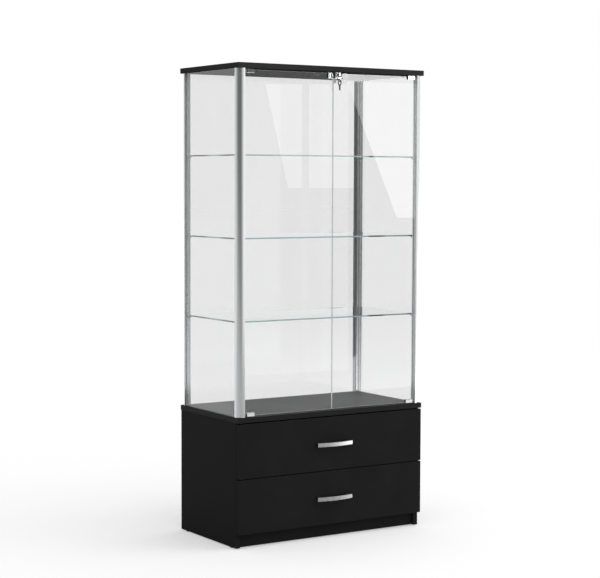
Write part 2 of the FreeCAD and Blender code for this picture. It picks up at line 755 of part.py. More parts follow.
def make_shelf_supports():
    """Wedge brackets with a tongue in the shelf slot of each post, four under each shelf."""
    support = new_body("shelf_support")
    sketch = new_sketch(support, "YZ_Plane")
    draw_loop(sketch, [(0, 0), (d.support_reach, d.support_height - d.support_nose),
                       (d.support_reach, d.support_height), (0, d.support_height)])
    pad(support, sketch, d.support_width).Midplane = True
    tongue = d.slot_width - 2 * d.support_play
    depth = d.slot_depth - d.support_play
    add_box(support, tongue, depth, d.support_height, (-tongue / 2, -depth, 0))
    offset = d.post_inset + d.slot_offset + d.slot_width / 2
    face = d.post_inset + d.post_size
    places = []
    for z in shelf_heights.values():
        for sign in (-1, 1):
            x = sign * (half_width - offset)
            places.append((x, front_y + face, z - d.support_height, QUARTER_TURNS[0]))
            places.append((x, back_y - face, z - d.support_height, QUARTER_TURNS[2]))
    node("shelf_supports", copies("shelf_supports", support, places))


def make_hinge_bushes():
    bush = new_body("hinge_bush", pivot_x, pivot_y, d.base_height)
    add_peg(bush, d.bush_radius, d.bush_depth, (0, 0, -d.bush_depth))
    add_peg(bush, d.bush_flange_radius, d.bush_flange)
    cut_rod(bush, d.pin_radius + d.running_clearance, d.bush_depth + d.bush_flange,
            (0, 0, -d.bush_depth))
    pair = group("left_bushes", [bush, mirrored("upper_bush", bush, (0, 0, 1), display_middle)])
    node("hinge_bushes", group("hinge_bushes", [pair, mirrored("right_bushes", pair)]))


def make_door_stops():
    stop = new_body("door_stop", -d.stop_offset - d.stop_width / 2, door_back + d.stop_gap,
                    top_under - d.stop_height)
    add_box(stop, d.stop_width, d.stop_depth, d.stop_height)
    break_all_edges(stop, d.stop_break)
    node("door_stops", group("door_stops", [stop, mirrored("door_stop_right", stop)]))


# Pivot hinges of the glass doors
hinge_slot = d.door_glass_thickness + 2 * d.clamp_fit
hinge_jaw = (d.hinge_depth - hinge_slot) / 2
hinge_x = -(door_edge - d.hinge_inset)
hinge_y = pivot_y - d.hinge_depth / 2
hinge_z = d.base_height + d.hinge_board_gap
clamp_screw_places = (d.clamp_screw_inset, d.clamp_screw_inset + d.clamp_screw_pitch)
clamp_screw_z = (d.hinge_web + d.hinge_height) / 2


def make_hinges():
    clamp = new_body("hinge_clamp", hinge_x, hinge_y, hinge_z)
    add_box(clamp, d.hinge_length, d.hinge_depth, d.hinge_height)
    break_all_edges(clamp, d.hinge_break)
    cut_box(clamp, d.hinge_length, hinge_slot, d.hinge_height - d.hinge_web,
            (0, hinge_jaw, d.hinge_web))
    for x in clamp_screw_places:
        cut_peg(clamp, d.clamp_screw_radius + d.seat_clearance, hinge_jaw,
                (x, d.hinge_depth - hinge_jaw, clamp_screw_z), "y")
    reach = d.hinge_board_gap + d.pin_depth
    add_rod(clamp, d.pin_radius, reach + d.hinge_web / 2,
            (pivot_x - hinge_x, d.hinge_depth / 2, -reach))
    screw = new_body("clamp_screw")
    add_peg(screw, d.clamp_screw_radius, hinge_jaw, (0, 0, 0), "y")
    cut_peg(screw, d.clamp_socket_radius, d.clamp_socket_depth,
            (0, hinge_jaw - d.clamp_socket_depth, 0), "y", SOCKET_SIDES)
    places = [(hinge_x + x, hinge_y + d.hinge_depth - hinge_jaw, hinge_z + clamp_screw_z, None)
              for x in clamp_screw_places]
    screws = copies("lower_clamp_screws", screw, places)
    for name, piece in (("door_hinges", clamp), ("hinge_screws", screws)):
        upper = mirrored(f"upper_{name}", piece, (0, 0, 1), display_middle)
        left = node(f"left_{name}", group(f"left_{name}", [piece, upper]))
        node(f"right_{name}", mirrored(f"right_{name}", left))


def make_doors():
    height = door_high - door_low
    left = pane("left_door_glass", door_width, d.door_glass_thickness, height,
                (-door_edge, door_front, door_low))
    node("left_door_glass", left)
    right = pane("right_door_glass", door_width, d.door_glass_thickness, height,
                 (d.door_meeting_gap / 2, door_front, door_low))
    corner_x = d.notch_width - d.notch_radius
    corner_z = height - d.notch_height + d.notch_radius
    cut_box(right, corner_x, d.door_glass_thickness, d.notch_height, (0, 0, height - d.notch_height))
    cut_box(right, d.notch_width, d.door_glass_thickness, height - corner_z, (0, 0, corner_z))
    cut_rod(right, d.notch_radius, d.door_glass_thickness, (corner_x, 0, corner_z), "y")
    node("right_door_glass", right)


# Lock on the right door: its core fills the corner notch, and the plug turns in the core
lock_x = d.door_meeting_gap / 2 + d.lock_edge_gap
lock_y = door_front - d.lock_depth
lock_top = top_under - d.hinge_board_gap
lock_z = lock_top - d.lock_height
core_width = d.notch_width - d.lock_edge_gap - d.notch_play
core_height = lock_top - (door_high - d.notch_height) - d.notch_play
plug_x = lock_x + core_width / 2
plug_z = lock_top - core_height / 2
plug_bore = d.plug_radius + d.running_clearance
plate_back = d.lock_depth + d.door_glass_thickness + d.lock_plate_thickness
plug_end = lock_y + plate_back + d.plug_tail
bow_y = lock_y - d.plug_proud - d.key_neck - d.key_bow_radius
rim_middle = (d.key_bow_radius + d.key_hole_radius) / 2
rim_half = (d.key_bow_radius - d.key_hole_radius) / 2
rim_corner = root_of(rim_half * rim_half + d.key_thickness * d.key_thickness / 4)
ring_hang = rim_corner + d.ring_gap + d.ring_wire / 2
ring_z = plug_z - rim_middle + ring_hang - d.ring_radius
spare_z = ring_z - d.ring_radius - rim_middle + ring_hang


def make_lock_body():
    body = new_body("lock_body", lock_x, lock_y, lock_z)
    add_box(body, d.lock_width, d.lock_depth, d.lock_height)
    break_all_edges(body, d.lock_break)
    depth = d.door_glass_thickness + d.lock_break
    start = d.lock_depth - d.lock_break
    low = d.lock_height - core_height
    corner = d.notch_radius - d.notch_play
    add_box(body, core_width - corner, depth, core_height, (0, start, low))
    add_box(body, core_width, depth, core_height - corner, (0, start, low + corner))
    add_rod(body, corner, depth, (core_width - corner, start, low + corner), "y")
    cut_rod(body, plug_bore, d.lock_depth + d.door_glass_thickness,
            (plug_x - lock_x, 0, plug_z - lock_z), "y")
    node("lock_body", body)
    plate = new_body("lock_back_plate", lock_x, door_back, lock_z)
    add_box(plate, d.lock_width, d.lock_plate_thickness, d.lock_height)
    break_all_edges(plate, d.edge_break)
    cut_rod(plate, plug_bore, d.lock_plate_thickness, (plug_x - lock_x, 0, plug_z - lock_z), "y")
    node("lock_back_plate", plate)


def make_lock_plug():
    start = lock_y - d.plug_proud
    length = plug_end - start
    body = new_body("lock_plug", plug_x, start, plug_z)
    add_rod(body, d.plug_radius, length, (0, 0, 0), "y")
    add_box(body, d.spigot_side, d.lock_cam_thickness, d.spigot_side,
            (-d.spigot_side / 2, length, -d.spigot_side / 2))
    slot = d.key_thickness + 2 * d.key_play
    tall = d.key_blade_width + 2 * d.key_play
    cut_box(body, slot, d.key_blade_inside + d.key_play, tall, (-slot / 2, 0, -tall / 2))
    depth = d.cam_screw_length
    cut_peg(body, d.cam_screw_radius + d.seat_clearance, depth,
            (0, length + d.lock_cam_thickness - depth, 0), "y")
    node("lock_plug", body)
    cam = new_body("lock_cam", plug_x, plug_end, plug_z)
    add_rod(cam, d.lock_cam_radius, d.lock_cam_thickness, (0, 0, 0), "y")
    add_box(cam, 2 * d.lock_cam_radius, d.lock_cam_thickness, d.lock_cam_reach,
            (-d.lock_cam_radius, 0, -d.lock_cam_reach))
    add_rod(cam, d.lock_cam_radius, d.lock_cam_thickness, (0, 0, -d.lock_cam_reach), "y")
    hole = d.spigot_side + 2 * d.spigot_fit
    cut_box(cam, hole, d.lock_cam_thickness, hole, (-hole / 2, 0, -hole / 2))
    node("lock_cam", cam)
    screw = new_body("cam_screw", plug_x, plug_end + d.lock_cam_thickness, plug_z)
    add_peg(screw, d.cam_screw_head_radius, d.cam_screw_head_height, (0, 0, 0), "y")
    add_peg(screw, d.cam_screw_radius, d.cam_screw_length, (0, -d.cam_screw_length, 0), "y")
    node("cam_screw", screw)


def make_key(name, x, y, z, turn=None):
    """A flat key: a ring shaped bow, and a blade with three cuts that points along the key's own Y."""
    body = new_body(name, x, y, z, turn)
    half = d.key_thickness / 2
    add_peg(body, d.key_bow_radius, d.key_thickness, (-half, 0, 0), "x", DISC_SIDES)
    blade = rim_half + d.key_neck + d.key_blade_inside
    start = d.key_bow_radius - rim_half
    add_box(body, d.key_thickness, blade, d.key_blade_width, (-half, start, -d.key_blade_width / 2))
    cut_peg(body, d.key_hole_radius, d.key_thickness, (-half, 0, 0), "x", DISC_SIDES)
    for number in range(3):
        y_cut = start + blade - d.key_cut_width - number * d.key_cut_pitch
        cut_box(body, d.key_thickness, d.key_cut_width / 2, d.key_cut_depth,
                (-half, y_cut, d.key_blade_width / 2 - d.key_cut_depth))
    return node(name, body)


def make_keys():
    make_key("lock_key", plug_x, bow_y, plug_z)
    make_key("spare_key", plug_x, bow_y, spare_z, Rotation(Vector(1, 0, 0), -90))
    ring = new_body("key_ring", plug_x, bow_y, ring_z)
    start = -d.ring_wire / 2
    add_peg(ring, d.ring_radius + d.ring_wire / 2, d.ring_wire, (0, start, 0), "y", DISC_SIDES)
    cut_peg(ring, d.ring_radius - d.ring_wire / 2, d.ring_wire, (0, start, 0), "y", DISC_SIDES)
    node("key_ring", ring)


def make_lock_keeper():
    """A clip over the upper edge of the left door; the lock cam turns behind it."""
    slot = d.door_glass_thickness + 2 * d.clamp_fit
    depth = d.keeper_front + slot + d.keeper_rear
    body = new_body("lock_keeper", -lock_x - d.keeper_width, door_front - d.clamp_fit - d.keeper_front,
                    lock_z)
    add_box(body, d.keeper_width, depth, d.lock_height)
    break_all_edges(body, d.keeper_break)
    cut_box(body, d.keeper_width, slot, door_high - lock_z, (0, d.keeper_front, 0))
    node("lock_keeper", body)


# Drawers: sizes along X are taken from the inner face of the base sides
box_outer = side_inner - d.runner_gap
box_inner = box_outer - d.box_board
box_front = front_y + d.front_thickness
box_back = box_front + d.box_length
bottom_slot = d.bottom_thickness + d.panel_play
bottom_half = box_inner + d.bottom_groove - d.panel_end_play
front_half = half_width - d.front_inset
foot_x = d.handle_pitch / 2
handle_hole = d.handle_screw_radius + d.seat_clearance
front_axle_y = side_front + d.roller_inset
front_axle_z = d.tread_height - d.roller_gap - d.front_roller_radius
rear_axle_y = box_back - d.roller_inset
rear_axle_z = d.rail_steel + d.roller_gap + d.rear_roller_radius


def make_drawer_box(level, front_z):
    low = front_z + box_lift
    front = board(f"{level}_drawer_front", 2 * front_half, d.front_thickness, front_height,
                  (-front_half, front_y, front_z))
    cut_box(front, 2 * box_inner, d.bottom_groove, bottom_slot,
            (front_half - box_inner, d.front_thickness - d.bottom_groove, box_lift + d.bottom_lift))
    for sign in (-1, 1):
        cut_peg(front, handle_hole, d.front_thickness,
                (front_half + sign * foot_x, 0, front_height / 2), "y")
    node(f"{level}_drawer_front", front)

    side = new_body(f"{level}_drawer_side", -box_outer, box_front, low)
    add_box(side, d.box_board, d.box_length, box_height)
    cut_box(side, d.bottom_groove, d.box_length, bottom_slot,
            (d.box_board - d.bottom_groove, 0, d.bottom_lift))
    pair = group(f"{level}_drawer_sides", [side, mirrored(f"{level}_drawer_side_right", side)])
    node(f"{level}_drawer_sides", pair)

    rise = d.bottom_lift + bottom_slot
    back = new_body(f"{level}_drawer_back", -box_inner, box_back - d.box_board, low + rise)
    add_box(back, 2 * box_inner, d.box_board, box_height - rise)
    node(f"{level}_drawer_back", back)

    bottom = new_body(f"{level}_drawer_bottom", -bottom_half, box_front, low + d.bottom_lift)
    add_box(bottom, 2 * bottom_half, d.box_length, d.bottom_thickness)
    tongue = d.bottom_groove - d.panel_end_play
    add_box(bottom, 2 * (box_inner - d.panel_end_play), tongue, d.bottom_thickness,
            (bottom_half - box_inner + d.panel_end_play, -tongue, 0))
    node(f"{level}_drawer_bottom", bottom)


def make_handle(level, front_z):
    """A bow handle: a flat band on a long arc, ending in two feet on the drawer front."""
    half = d.handle_length / 2
    end_reach = d.handle_reach - d.handle_bow
    outer = (half * half + d.handle_bow * d.handle_bow) / (2 * d.handle_bow)
    inner = outer - d.handle_thickness
    inner_x = foot_x - d.foot_half_width
    centre = d.handle_reach - outer
    inner_end = centre + root_of(inner * inner - inner_x * inner_x)
    foot_out = foot_x + d.foot_half_width
    middle_z = front_z + front_height / 2
    body = new_body(f"{level}_handle", 0, front_y, middle_z, Rotation(Vector(1, 0, 0), 180))
    sketch = new_sketch(body, "XY_Plane")
    points = [(foot_out, 0), (half, end_reach), (-half, end_reach), (-foot_out, 0),
              (-inner_x, 0), (-inner_x, inner_end), (inner_x, inner_end), (inner_x, 0)]
    draw_loop(sketch, points, {1: (outer, (0, d.handle_reach)),
                               5: (inner, (0, d.handle_reach - d.handle_thickness))})
    pad(body, sketch, d.handle_height).Midplane = True
    break_level_edges(body, d.handle_break, d.edge_break)
    for sign in (-1, 1):
        cut_peg(body, handle_hole, d.handle_screw_grip, (sign * foot_x, 0, 0), "y")
    node(f"{level}_handle", body)

    screw = new_body(f"{level}_handle_screw")
    length = d.front_thickness + d.handle_screw_grip
    add_peg(screw, d.handle_screw_radius, length, (0, -length, 0), "y")
    add_peg(screw, d.handle_screw_head_radius, d.handle_screw_head_height, (0, 0, 0), "y")
    places = [(sign * foot_x, box_front, middle_z, None) for sign in (-1, 1)]
    node(f"{level}_handle_screws", copies(f"{level}_handle_screws", screw, places))


def make_cabinet_rails():
    """C section rails on the base sides, each with the axle of its front roller."""
    rails = []
    for level, front_z in (("upper", upper_front_z), ("lower", lower_front_z)):
        low = front_z + box_lift - d.rail_steel
        rail = new_body(f"{level}_cabinet_rail", -side_inner, side_front, low)
        add_box(rail, d.rail_reach, d.box_length, d.rail_height)
        cut_box(rail, d.rail_reach - d.rail_steel, d.box_length, d.rail_height - 2 * d.rail_steel,
                (d.rail_steel, 0, d.rail_steel))
        add_peg(rail, d.axle_radius, d.rail_reach - d.rail_steel / 2,
                (d.rail_steel / 2, d.roller_inset, front_axle_z), "x")
        rails += [rail, mirrored(f"{level}_cabinet_rail_right", rail)]
    node("cabinet_rails", group("cabinet_rails", rails))


def make_drawer_rails(level, front_z):
    """Angle rails under the drawer sides, each with a tread and the axle of its rear roller."""
    low = front_z + box_lift - d.rail_steel
    rail = new_body(f"{level}_drawer_rail", -side_inner, box_front, low)
    web = d.runner_gap - d.rail_steel
    add_box(rail, d.rail_steel, d.box_length, d.tread_height + d.rail_steel, (web, 0, 0))
    add_box(rail, web + d.rail_steel - d.tread_reach, d.box_length, d.rail_steel,
            (d.tread_reach, 0, d.tread_height))
    add_box(rail, d.rail_steel + d.box_board, d.box_length, d.rail_steel, (web, 0, 0))
    add_peg(rail, d.axle_radius, web + d.rail_steel / 2 - d.roller_start,
            (d.roller_start, d.box_length - d.roller_inset, rear_axle_z), "x")
    pair = group(f"{level}_drawer_rails", [rail, mirrored(f"{level}_drawer_rail_right", rail)])
    node(f"{level}_drawer_rails", pair)


def make_rollers(level, front_z):
    low = front_z + box_lift - d.rail_steel
    spots = {"front": (d.front_roller_radius, front_axle_y, front_axle_z),
             "rear": (d.rear_roller_radius, rear_axle_y, rear_axle_z)}
    for end, (radius, y, rise) in spots.items():
        name = f"{level}_{end}_rollers"
        roller = new_body(f"{level}_{end}_roller", -side_inner + d.roller_start, y, low + rise)
        add_rod(roller, radius, d.roller_width, (0, 0, 0), "x")
        cut_rod(roller, d.axle_radius + d.running_clearance, d.roller_width, (0, 0, 0), "x")
        node(name, group(name, [roller, mirrored(f"{level}_{end}_roller_right", roller)]))


def make_drawers():
    make_cabinet_rails()
    for level, front_z in (("upper", upper_front_z), ("lower", lower_front_z)):
        make_drawer_box(level, front_z)
        make_handle(level, front_z)
        make_drawer_rails(level, front_z)
        make_rollers(level, front_z)


def make_cabinet():
    make_base_sides()
    make_deck()
    make_base_floor()
    make_plinth()
    make_base_back()
    make_glides()
    make_dowels()
    make_cam_fittings()
    make_posts()
    make_post_screws()
    make_top_panel()
    make_panes()
    make_gaskets()
    make_door_seals()
    make_shelves()
    make_shelf_supports()
    make_hinge_bushes()
    make_door_stops()
    make_hinges()
    make_doors()
    make_lock_body()
    make_lock_plug()
    make_keys()
    make_lock_keeper()
    make_drawers()


def check_and_write():
    doc.recompute()
    for thing in doc.Objects:
        if "Invalid" in thing.State or "Error" in thing.State:
            owners = [owner.Label for owner in thing.InList]
            raise RuntimeError(f"{thing.Label} of {owners} failed: {thing.State}")
    for name, thing in nodes.items():
        if thing.Shape.isNull() or not thing.Shape.isValid() or not thing.Shape.Solids:
            raise RuntimeError(f"{name} has no sound solid")
    os.makedirs("parts", exist_ok=True)
    for name, thing in nodes.items():
        thing.Shape.exportStep(f"parts/{name}.step")
    whole = Part.makeCompound([thing.Shape for thing in nodes.values()]).optimalBoundingBox()
    print(f"{len(nodes)} sub-parts, {whole.XLength:.1f} x {whole.YLength:.1f} x {whole.ZLength:.1f} mm")
    print(f"middle at {whole.Center.x:.3f}, {whole.Center.y:.3f}, lowest at {whole.ZMin:.3f}")


make_cabinet()
check_and_write()
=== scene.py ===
import math

import bpy
import numpy as np
from mathutils import Matrix, Vector

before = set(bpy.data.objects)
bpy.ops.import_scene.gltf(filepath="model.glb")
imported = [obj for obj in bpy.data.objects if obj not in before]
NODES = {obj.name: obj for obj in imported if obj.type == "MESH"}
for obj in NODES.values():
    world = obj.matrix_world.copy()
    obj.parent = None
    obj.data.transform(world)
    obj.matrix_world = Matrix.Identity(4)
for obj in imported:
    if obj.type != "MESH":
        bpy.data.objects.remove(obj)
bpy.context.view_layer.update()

bl_info = {
    "name": "Glass display cabinet",
    "version": (1, 0, 0),
    "blender": (4, 5, 0),
    "location": "View3D > Sidebar > Cabinet",
    "description": "Dresses the glass display cabinet in its finishes and sets it in a studio",
    "category": "Object",
}

MM = 0.001
SENSOR = 36.0
WHITE = (1.0, 1.0, 1.0, 1.0)

# Where most of a grain's noise lies
NOISE_LOW = 0.3
NOISE_HIGH = 0.7
# A normal with less than this along its widest axis is that of a board's broken edge
BOARD_FACE = 0.95
# A normal with less than this along the pane's axis is that of a pane's ground edge
PANE_FACE = 0.9

# Grain of the boards and of the film on glass, in mm along X, Y and Z
PEARLS = (3, 3, 3)
CLOUDS = (140, 140, 140)
FILM = (60, 60, 60)
BROAD_DETAIL = 2.0
PEARL_HEIGHT = 0.02 * MM
PEARL_STRENGTH = 0.04
EDGE_ROUGHNESS = 0.35
EDGE_TRANSMISSION = 0.6
GLASS_IOR = 1.52
POLYCARBONATE_IOR = 1.58

# Painted shade in stripes on the short edges of the shelves: distance in metres, slant along X, and phase
STRIPE_PITCH = 220 * MM
STRIPE_SLANT = 0.0724
STRIPE_PHASE = 2.5
# The painted-shade streak on the front edges: where along X it rises, falls off and ends dark, in metres
STREAK_RISE = (0.168, 0.182)
STREAK_TAIL = (0.235, 0.255)
STREAK_END = (0.345, 0.36)
# How dark the streak stays after it falls off, and at its end
TAIL_DARK = 0.25
END_DARK = 0.8
# The upper shelf lies above this height, and its streak falls off earlier by this length
UPPER_SHELF = 1.25
UPPER_CUT = 0.055

# Paper of the floor: half its side, how much light it sends back to what is seen and to the room
FLOOR_HALF = 60.0
FLOOR_ALBEDO = 0.9
ROOM_ALBEDO = 0.75
# How much dimmer the floor is near the cabinet than far from it, and both distances
FLOOR_DIMMER = 0.025
FLOOR_NEAR = 1.0
FLOOR_FAR = 4.0
# Grades of the floor's brightness in polished metal: axis, start and end in metres, and the values there.
# start and dim are where the grade to the right starts and how bright it is there
FLOOR_GRADES = {
    "front": ("Y", -8.0, -2.0, 0.12, 1.0),
    "behind": ("Y", -0.3, 1.2, 0.0, 1.0),
    "dim": ("Y", -3.5, -2.5, 1.0, 0.4),
    "start": ("Y", -1.5, -0.8, 0.5, 0.3),
    "close": ("Y", -3.0, -2.0, 0.0, 0.9),
    "corner": ("X", 0.8, 1.6, 0.0, 1.0),
    "wide": ("Y", -10.0, -0.5, 0.29, 0.69),
    "left": ("X", -2.0, -0.5, 1.0, 0.0),
}
FLOOR_RIGHT = 1.7
FLOOR_RIGHT_BRIGHT = 1.6

# Directions of the bright wall behind the cabinet and of the stronger soft light
BRIGHT_WALL = (0.174, 0.985, 0.0)
BRIGHT_SIDE = (0.6, -0.8, 0.0)
WALL_BRIGHT = 1.05

KEY_SIZE = 2.4
KEY_PLACE = (3.2, -2.6, 3.4)
KEY_AIM = (0.0, 0.0, 0.8)

# Panels that only mirrors show, within their reach: windows for the doors, softboxes and a dark flag
# for the posts. Brightness at their left and right, reach, place in Y, then X and Z of the corners,
# in metres
WINDOW_REACH = 4.82
SOFTBOX_REACH = 50.0
FLAG_REACH = 0.115
REACH_FADE = 0.01
PANELS = {
    "window_left": (1.95, 1.95, WINDOW_REACH, -4.0, [
        (2.05, 1.896), (2.32, 1.904), (2.32, 1.254), (2.217, 1.254)]),
    "window_middle": (1.85, 1.85, WINDOW_REACH, -4.005, [
        (2.376, 1.906), (2.722, 1.917), (2.722, 1.254), (2.376, 1.254)]),
    "window_right": (3.1, 3.1, WINDOW_REACH, -4.0, [
        (2.631, 1.99), (3.25, 1.99), (3.25, 1.06), (3.06, 1.06)]),
    "window_head": (13.0, 13.0, WINDOW_REACH, -3.99, [
        (2.6, 2.03), (2.752, 2.03), (2.752, 1.937), (2.6, 1.937)]),
    "window_head_right": (13.0, 13.0, WINDOW_REACH, -3.99, [
        (2.752, 2.03), (3.25, 2.03), (3.25, 1.99), (2.752, 1.937)]),
    "softbox_front": (0.1, 1.6, SOFTBOX_REACH, -4.01, [
        (-3.0, 3.0), (1.6, 3.0), (1.6, 0.3), (-3.0, 0.3)]),
    "softbox_right": (1.1, 1.1, SOFTBOX_REACH, -4.02, [
        (4.0, 4.5), (15.0, 4.5), (15.0, 0.0), (4.0, 0.0)]),
    "flag_rear": (0.1, 0.1, FLAG_REACH, 0.27, [
        (0.285, 1.69), (0.355, 1.69), (0.355, 0.6), (0.285, 0.6)]),
}


def linear(hex_colour):
    """Linear colour of an sRGB hex value, with full alpha."""
    parts = np.array([int(hex_colour[i:i + 2], 16) for i in (1, 3, 5)]) / 255
    low = parts / 12.92
    high = ((parts + 0.055) / 1.055) ** 2.4
    return (*np.where(parts <= 0.04045, low, high).tolist(), 1.0)


def add(tree, kind, settings=(), inputs=()):
    """Adds one node, sets its settings, and fills its inputs with values or links."""
    node = tree.nodes.new("ShaderNode" + kind)
    for name, value in dict(settings).items():
        setattr(node, name, value)
    for key, value in dict(inputs).items():
        socket = node.inputs[key]
        if isinstance(value, bpy.types.NodeSocket):
            tree.links.new(value, socket)
        else:
            socket.default_value = value
    return node


def new_material(name):
    """An empty material and its node tree."""
    material = bpy.data.materials.new(name)
    material.use_nodes = True
    material.node_tree.nodes.clear()
    return material, material.node_tree


def dress(material, *names):
    """Gives CAD nodes their finish."""
    for name in names:
        slots = NODES[name].data.materials
        slots.clear()
        slots.append(material)


def grain(tree, sizes, detail=3.0):
    """Noise on the piece's own coordinates; sizes are the grain in mm along X, Y and Z."""
    place = add(tree, "TexCoord")
    scaled = add(tree, "Mapping", inputs={
        "Vector": place.outputs["Object"],
        "Scale": [1 / (size * MM) for size in sizes]})
    return add(tree, "TexNoise", inputs={
        "Vector": scaled.outputs["Vector"], "Scale": 1.0, "Detail": detail, "Roughness": 0.55})


def grained(name, dark, light, sizes, rough, bump, **constants):
    """A finish whose colour and roughness run between two values on one grain, with its relief in mm."""
    material, tree = new_material(name)
    noise = grain(tree, sizes)
    tone = add(tree, "MapRange", inputs={
        "Value": noise.outputs["Fac"], "From Min": NOISE_LOW, "From Max": NOISE_HIGH})
    colour = add(tree, "Mix", {"data_type": "RGBA"}, {
        "Factor": tone.outputs["Result"], 6: linear(dark), 7: linear(light)})
    shine = add(tree, "MapRange", inputs={
        "Value": noise.outputs["Fac"], "From Min": NOISE_LOW, "From Max": NOISE_HIGH,
        "To Min": rough[0], "To Max": rough[1]})
    relief = add(tree, "Bump", inputs={
        "Height": noise.outputs["Fac"], "Strength": 1.0, "Distance": bump * MM})
    shader = add(tree, "BsdfPrincipled", inputs={
        "Base Color": colour.outputs[2], "Roughness": shine.outputs["Result"],
        "Normal": relief.outputs["Normal"], **constants})
    add(tree, "OutputMaterial", inputs={"Surface": shader.outputs["BSDF"]})
    return material


def black_melamine(name, dark, light, edge_tone, specular):
    """Black melamine paper pressed on board: satin, with a fine pearl relief. The pearls are under
    a millimetre, so they are drawn at 3 mm to show. The broken edges of the edging are painted
    a lighter tone, a painted highlight."""
    material, tree = new_material(name)
    place = add(tree, "TexCoord")
    pearls = grain(tree, PEARLS)
    clouds = grain(tree, CLOUDS, BROAD_DETAIL)
    tone = add(tree, "Mix", {"data_type": "RGBA"}, {
        "Factor": clouds.outputs["Fac"], 6: dark[:], 7: light[:]})
    size = add(tree, "VectorMath", {"operation": "ABSOLUTE"}, {0: place.outputs["Normal"]})
    axes = add(tree, "SeparateXYZ", inputs={0: size.outputs[0]})
    widest = add(tree, "Math", {"operation": "MAXIMUM"}, {0: axes.outputs[0], 1: axes.outputs[1]})
    widest = add(tree, "Math", {"operation": "MAXIMUM"}, {0: widest.outputs[0], 1: axes.outputs[2]})
    # Painted highlight: the broken edges take the lighter edge tone
    edge = add(tree, "Math", {"operation": "LESS_THAN"}, {0: widest.outputs[0], 1: BOARD_FACE})
    colour = add(tree, "Mix", {"data_type": "RGBA"}, {
        "Factor": edge.outputs[0], 6: tone.outputs[2], 7: edge_tone[:]})
    shine = add(tree, "MapRange", inputs={
        "Value": clouds.outputs["Fac"], "From Min": NOISE_LOW, "From Max": NOISE_HIGH,
        "To Min": 0.5, "To Max": 0.58})
    relief = add(tree, "Bump", inputs={
        "Height": pearls.outputs["Fac"], "Strength": PEARL_STRENGTH, "Distance": PEARL_HEIGHT})
    shader = add(tree, "BsdfPrincipled", inputs={
        "Base Color": colour.outputs[2], "Roughness": shine.outputs["Result"],
        "Specular IOR Level": specular, "Normal": relief.outputs["Normal"]})
    add(tree, "OutputMaterial", inputs={"Surface": shader.outputs["BSDF"]})
    return material


def painted_shade_stripes(tree, facing, axes):
    """Painted shade on a shelf's short edges, square to X: a sine wave along Y."""
    turned = add(tree, "Math", {"operation": "ABSOLUTE"}, {0: facing.outputs["X"]})
    turned = add(tree, "Math", {"operation": "GREATER_THAN"}, {0: turned.outputs[0], 1: PANE_FACE})
    along = add(tree, "Math", {"operation": "MULTIPLY_ADD"}, {
        0: axes.outputs["X"], 1: STRIPE_SLANT, 2: axes.outputs["Y"]})
    along = add(tree, "Math", {"operation": "MULTIPLY_ADD"}, {
        0: along.outputs[0], 1: 2 * math.pi / STRIPE_PITCH, 2: STRIPE_PHASE})
    wave = add(tree, "Math", {"operation": "SINE"}, {0: along.outputs[0]})
    dark = add(tree, "MapRange", inputs={
        "Value": wave.outputs[0], "From Min": -0.7, "From Max": 0.7, "To Min": 1.0, "To Max": 0.15})
    return add(tree, "Math", {"operation": "MULTIPLY"}, {
        0: dark.outputs["Result"], 1: turned.outputs[0]})


def painted_shade_streak(tree, facing, axes):
    """Painted shade on a shelf's front edge: a streak on the right with a dark end, short on the upper
    shelf.
    """
    front = add(tree, "Math", {"operation": "LESS_THAN"}, {0: facing.outputs["Y"], 1: -PANE_FACE})
    upper = add(tree, "Math", {"operation": "GREATER_THAN"}, {0: axes.outputs["Z"], 1: UPPER_SHELF})
    moved = add(tree, "Math", {"operation": "MULTIPLY_ADD"}, {
        0: upper.outputs[0], 1: UPPER_CUT, 2: axes.outputs["X"]})
    low = add(tree, "MapRange", inputs={
        "Value": upper.outputs[0], "To Min": TAIL_DARK, "To Max": 0.0})
    last = add(tree, "MapRange", inputs={
        "Value": upper.outputs[0], "To Min": END_DARK, "To Max": 0.0})
    rise = add(tree, "MapRange", {"interpolation_type": "SMOOTHSTEP"}, {
        "Value": axes.outputs["X"], "From Min": STREAK_RISE[0], "From Max": STREAK_RISE[1]})
    tail = add(tree, "MapRange", {"interpolation_type": "SMOOTHSTEP"}, {
        "Value": moved.outputs[0], "From Min": STREAK_TAIL[0], "From Max": STREAK_TAIL[1],
        "To Min": 1.0, "To Max": low.outputs["Result"]})
    end = add(tree, "MapRange", {"interpolation_type": "SMOOTHSTEP"}, {
        "Value": axes.outputs["X"], "From Min": STREAK_END[0], "From Max": STREAK_END[1],
        "To Max": last.outputs["Result"]})
    streak = add(tree, "Math", {"operation": "MULTIPLY"}, {
        0: rise.outputs["Result"], 1: tail.outputs["Result"]})
    streak = add(tree, "Math", {"operation": "MAXIMUM"}, {
        0: streak.outputs[0], 1: end.outputs["Result"]})
    return add(tree, "Math", {"operation": "MULTIPLY"}, {0: streak.outputs[0], 1: front.outputs[0]})


